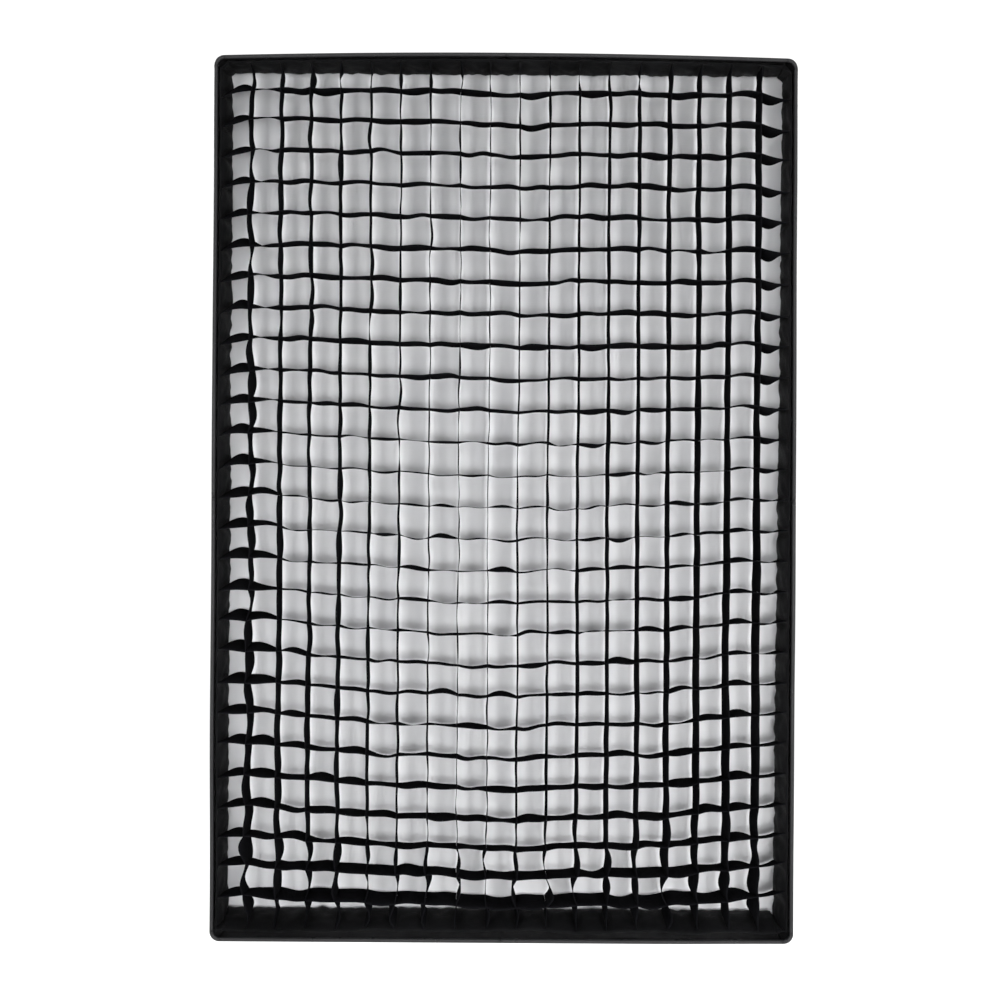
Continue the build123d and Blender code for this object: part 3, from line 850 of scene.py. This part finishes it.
def make_half_panel(name, body, node, sides, middle):
    sx, sz = sides
    rear = Vector((SEAM_REAR.x * sx, SEAM_REAR.y, SEAM_REAR.z * sz))
    front = Vector((SEAM_FRONT.x * sx, SEAM_FRONT.y, SEAM_FRONT.z * sz))
    to_middle = Vector((-sx, 0, 0)) if middle == "x" else Vector((0, 0, -sz))
    outward = (front - rear).cross(to_middle).normalized()
    if outward.dot(Vector((front.x if middle == "z" else 0, 0, front.z if middle == "x" else 0))) < 0:
        outward = -outward
    across, along = 44, 60
    outer, inner = [], []
    for j in range(along + 1):
        b = j / along
        for i in range(across + 1):
            a = i / across
            p = panel_point(rear, front, middle, a, b)
            slack = PANEL_SLACK * math.sin(math.pi * b) * math.sin(math.pi / 2 * a)
            edge = step(0, 0.15, a) * step(1, 0.93, a) * step(0, 0.06, b) * step(1, 0.95, b)
            long_wave = 0.0024 * noise.noise(Vector((p.x * 9, p.y * 16, p.z * 9)))
            crease = 0.0009 * noise.noise(Vector((p.x * 34, p.y * 12, p.z * 34)))
            push = -slack + edge * (long_wave + crease)
            p += edge_shift(p.x, p.z) * b ** 8
            p -= Vector((sx, 0, sz)) * (0.004 * step(0.03, 0.0, a) * step(0.95, 1.0, b))
            outer.append(p + outward * push)
            inner.append(p + outward * (push - PANEL_CLOTH))
    count = len(outer)
    flip = (outer[1] - outer[0]).cross(outer[across + 1] - outer[0]).dot(outward) < 0
    faces = grid_faces(across + 1, along + 1)
    top = [tuple(reversed(f)) for f in faces] if flip else faces
    bottom = [tuple(count + i for i in reversed(f)) for f in top]
    rim_loop = list(range(across + 1))
    rim_loop += [(j + 1) * (across + 1) - 1 for j in range(1, along + 1)]
    rim_loop += [along * (across + 1) + i for i in range(across - 1, -1, -1)]
    rim_loop += [j * (across + 1) for j in range(along - 1, 0, -1)]
    rim = []
    for k, here in enumerate(rim_loop):
        after = rim_loop[(k + 1) % len(rim_loop)]
        quad = (here, after, count + after, count + here)
        rim.append(quad if flip else tuple(reversed(quad)))
    obj = new_object(name, outer + inner, top + bottom + rim)
    length = (panel_point(rear, front, middle, 1, 1) - panel_point(rear, front, middle, 1, 0)).length
    wide = (front - panel_point(rear, front, middle, 1, 1)).length
    narrow = (rear - panel_point(rear, front, middle, 1, 0)).length
    finish_piece(obj, body, "shell_cloth", [node])
    obj.data.materials.append(MATERIALS["silver_lining"])
    lining = [0] * len(top) + [1] * len(bottom) + [0] * len(rim)
    obj.data.polygons.foreach_set("material_index", lining)


def make_shell():
    for corner, sides in CORNERS.items():
        upright, side = corner.split("_")
        level = "top" if sides[1] > 0 else "bottom"
        for half, middle in ((f"{level}_{side}", "x"), (f"{side}_{upright}", "z")):
            make_half_panel(f"shell_{half}", f"flap_{half}", f"panel_{half}", sides, middle)


def make_corner_seams():
    """The bound seam over each rod, where two panels meet."""
    for corner, (sx, sz) in CORNERS.items():
        rear = Vector((SEAM_REAR.x * sx, SEAM_REAR.y, SEAM_REAR.z * sz))
        front = Vector((SEAM_FRONT.x * sx, SEAM_FRONT.y - 0.001, SEAM_FRONT.z * sz))
        path = []
        for k in range(90):
            f = k / 89
            p = rear.lerp(front, f) - Vector((sx, 0, sz)) * (0.004 * step(0.95, 1.0, f))
            wave = 0.0005 * noise.noise(Vector((f * 40, sx, sz)))
            path.append(p + Vector((sx * wave, 0, sz * wave)))
        obj = new_object(f"corner_seam_{corner}", *tube_mesh(path, 0.0030, 10))
        finish_piece(obj, f"rod_{corner}_arm", "black_nylon")


# ---------------------------------------------------------------- sleeve, baffle and pockets


def make_rear_sleeve():
    """The cloth sleeve from the shell's rear opening to the ring, with an elastic hem."""
    across, rings = 16, 144
    hem_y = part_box("rear_cuff")[1].y
    vertices = []
    for k in range(rings):
        angle = 2 * math.pi * k / rings
        c, s = math.cos(angle), math.sin(angle)
        reach = 1 / max(abs(c) / (SEAM_REAR.x - 0.0012), abs(s) / (SEAM_REAR.z - 0.0012))
        for i in range(across + 1):
            t = i / across
            y = lerp(SEAM_REAR.y - 0.001, hem_y, t ** 0.9)
            r = lerp(reach, RING_R + 0.0022, step(0, 0.85, t))
            pleat = 0.0011 * math.sin(angle * 36 + 2 * math.sin(angle * 3)) * step(0.15, 0.8, t)
            pleat *= 1 - 0.4 * t
            vertices.append(((r + pleat) * c, y, (r + pleat) * s))
    obj = thicken(new_object("rear_sleeve", vertices, grid_faces(across + 1, rings, closed=True)), CLOTH)
    finish_piece(obj, "speedring", "black_nylon", ["rear_cuff"])


def make_baffle():
    low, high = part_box("inner_baffle")
    half_x, half_z, cut, y = high.x, high.z, 0.040, (low.y + high.y) / 2
    across, along = 60, 84
    vertices = []
    for j in range(along + 1):
        z = lerp(-half_z, half_z, j / along)
        reach = half_x - max(0.0, abs(z) - (half_z - cut))
        for i in range(across + 1):
            x = lerp(-reach, reach, i / across)
            loose = 1 - max(abs(x) / half_x, abs(z) / half_z) ** 4
            wave = 0.004 * wander(x, z, 0.16, 21) * loose + 0.0012 * wander(x, z * 0.3, 0.03, 22) * loose
            vertices.append((x, y + wave, z))
    obj = thicken(new_object("baffle_cloth", vertices, grid_faces(across + 1, along + 1)), BAFFLE_CLOTH)
    finish_piece(obj, "speedring", "diffusion_cloth", ["inner_baffle"], BUNCH_UP)


def make_baffle_straps():
    """Elastic straps with a press stud, from the baffle's edge to the shell."""
    low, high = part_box("baffle_tabs")
    inner_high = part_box("inner_baffle")[1]
    y = (low.y + high.y) / 2
    aside_by, overlap = 0.1, 0.012
    short = 0.010  # the straps end before the CAD's tabs do, because the shell hangs slack
    parts = []
    for sx, sz in CORNERS.values():
        for along_x in (True, False):
            if along_x:
                start = Vector((sx * aside_by, y, sz * (inner_high.z - overlap)))
                end = Vector((sx * aside_by, y, sz * (high.z - short)))
                aside = Vector((1, 0, 0))
            else:
                start = Vector((sx * (inner_high.x - overlap), y, sz * aside_by))
                end = Vector((sx * (high.x - short), y, sz * aside_by))
                aside = Vector((0, 0, 1))
            parts.append(strap_mesh(start, end, aside * 0.009))
            parts.append(stud_mesh(start.lerp(end, 0.3) + Vector((0, -0.0012, 0))))
    obj = new_object("baffle_straps", *join_meshes(parts))
    finish_piece(obj, "speedring", "hook_tape", ["baffle_tabs"], BUNCH_UP)


def strap_mesh(start, end, half_width, thickness=0.0014):
    vertices, steps = [], 8
    for k in range(steps + 1):
        p = start.lerp(end, k / steps)
        narrow = 1 - 0.15 * math.sin(math.pi * k / steps)
        for side, front in ((-1, -1), (1, -1), (1, 1), (-1, 1)):
            vertices.append(p + half_width * (side * narrow) + Vector((0, front * thickness / 2, 0)))
    faces = []
    for k in range(steps):
        for s in range(4):
            a, b = k * 4 + s, k * 4 + (s + 1) % 4
            faces.append((a, b, b + 4, a + 4))
    faces += [(3, 2, 1, 0), tuple(steps * 4 + i for i in range(4))]
    return vertices, faces


def stud_mesh(centre, radius=0.005, height=0.0012, sides=20):
    vertices, faces = [], []
    rings = [(radius, 0.0), (radius, -height * 0.5), (radius * 0.85, -height), (radius * 0.4, -height * 0.7)]
    for r, y in rings:
        for s in range(sides):
            angle = 2 * math.pi * s / sides
            vertices.append(centre + Vector((r * math.cos(angle), y, r * math.sin(angle))))
    for k in range(len(rings) - 1):
        for s in range(sides):
            a, b = k * sides + s, k * sides + (s + 1) % sides
            faces.append((a, a + sides, b + sides, b))
    faces.append(tuple(range(sides)))
    faces.append(tuple(reversed(range((len(rings) - 1) * sides, len(rings) * sides))))
    return vertices, faces


def make_tip_pockets():
    """The sewn pouch round each rod's tip: a tapered sleeve with a rolled mouth and a closed end."""
    for corner, (sx, sz) in CORNERS.items():
        low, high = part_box(f"rod_{corner}")
        tip_low, tip_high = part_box(f"rod_tip_{corner}")
        rod_start = Vector((low.x if sx > 0 else high.x, high.y, low.z if sz > 0 else high.z))
        end = Vector((tip_high.x if sx > 0 else tip_low.x, tip_low.y, tip_high.z if sz > 0 else tip_low.z))
        way = (end - rod_start).normalized()
        path = [end - way * (0.031 * (1 - k / 24)) for k in range(25)]

        def radius(t):
            mouth = 0.0008 * math.exp(-((t - 0.03) / 0.05) ** 2)
            closed = math.sqrt(max(0.02, 1 - step(0.86, 1.02, t)))
            return (0.0048 + mouth + 0.0004 * math.sin(t * 26)) * closed

        obj = new_object(f"tip_pocket_{corner}", *tube_mesh(path, radius, 16, 0.9))
        finish_piece(obj, f"rod_{corner}_arm", "black_nylon", [f"rod_pocket_{corner}"])


# ---------------------------------------------------------------- CAD pieces that stay


def dress_frame():
    record = frame["record"]
    slots = {part["node"]: part["material_slot"] for part in record["subparts"]}
    for node, obj in frame["nodes"].items():
        if obj.hide_render:
            continue
        material = MATERIALS[slots[node]]
        obj.data.materials.clear()
        obj.data.materials.append(material)


# ---------------------------------------------------------------- stage, light and camera

CAMERA_BACK = 2.0  # from the front of the lip
CAMERA_X = -0.04
CAMERA_Z = 0.070
VIEW_WIDTH = 1.367  # of the plane at the front of the lip
SENSOR = 36.0
AIM_X = -0.0055
AIM_Z = -0.0007
ROLL = math.radians(-0.36)  # the photograph is a little off level


def make_camera():
    data = bpy.data.cameras.new("camera")
    data.sensor_width = SENSOR
    data.lens = SENSOR * CAMERA_BACK / VIEW_WIDTH
    data.shift_x = (AIM_X - CAMERA_X) / VIEW_WIDTH
    data.shift_y = (AIM_Z - CAMERA_Z) / VIEW_WIDTH
    obj = bpy.data.objects.new("camera", data)
    obj.location = (CAMERA_X, LIP_FRONT_Y - CAMERA_BACK, CAMERA_Z)
    obj.rotation_euler = (math.pi / 2, ROLL, 0)
    bpy.context.scene.collection.objects.link(obj)
    bpy.context.scene.camera = obj


def area_light(name, place, aim, width, height, power, spread=180):
    data = bpy.data.lights.new(name, "AREA")
    data.shape = "RECTANGLE"
    data.size, data.size_y = width, height
    data.energy = power
    data.spread = math.radians(spread)
    obj = bpy.data.objects.new(name, data)
    obj.location = place
    obj.rotation_euler = (Vector(aim) - Vector(place)).to_track_quat("-Z", "Y").to_euler()
    obj.visible_camera = False
    bpy.context.scene.collection.objects.link(obj)


def make_lights():
    area_light("left_light", (-1.36, -3.6, 0.2), (0, -0.4, 0.0), 0.45, 2.0, 31)
    area_light("right_light", (1.36, -3.6, 0.2), (0, -0.4, 0.0), 0.45, 2.0, 43)
    area_light("front_fill", (0, -5.2, -0.1), (0, -0.4, 0.0), 3.0, 1.6, 14)
    area_light("low_front", (0.2, -3.8, -0.30), (0.06, -0.4, -0.22), 1.3, 0.8, 3.9, 46)
    area_light("back_left", (-2.2, 1.6, 1.4), (0, -0.2, 0), 1.2, 1.2, 45)
    area_light("back_right", (2.2, 1.6, 1.4), (0, -0.2, 0), 1.2, 1.2, 45)
    world = bpy.data.worlds.new("studio")
    world.use_nodes = True
    world.node_tree.nodes["Background"].inputs["Color"].default_value = (1, 1, 1, 1)
    world.node_tree.nodes["Background"].inputs["Strength"].default_value = 1.12
    bpy.context.scene.world = world
    bpy.context.scene.view_settings.view_transform = "Standard"
    bpy.context.scene.view_settings.look = "None"


FLOOR_Z = -1.35


def make_stage():
    n = Nodes("pale_floor")
    n.feed(Base_Color=n.ramp(n.noise(2.0, 3.0), (0.93, 0.93, 0.93), (0.96, 0.96, 0.96)))
    n.feed(Roughness=n.span(n.noise(8.0), 0.85, 0.95))
    n.set(Specular_IOR_Level=0.1)
    reach = 14.0
    corners = [(-reach, -reach), (reach, -reach), (reach, reach), (-reach, reach)]
    vertices = [(x, y, FLOOR_Z) for x, y in corners]
    floor = new_object("floor", vertices, [(0, 1, 2, 3)], smooth=False)
    floor.data.materials.append(n.material)


make_camera()
make_lights()
make_stage()
make_lip()
grid = Grid()
make_grid_strips(grid)
make_grid_border()
make_diffuser()
make_diffuser_tape()
make_shell()
make_corner_seams()
make_rear_sleeve()
make_baffle()
make_baffle_straps()
make_tip_pockets()
dress_frame()
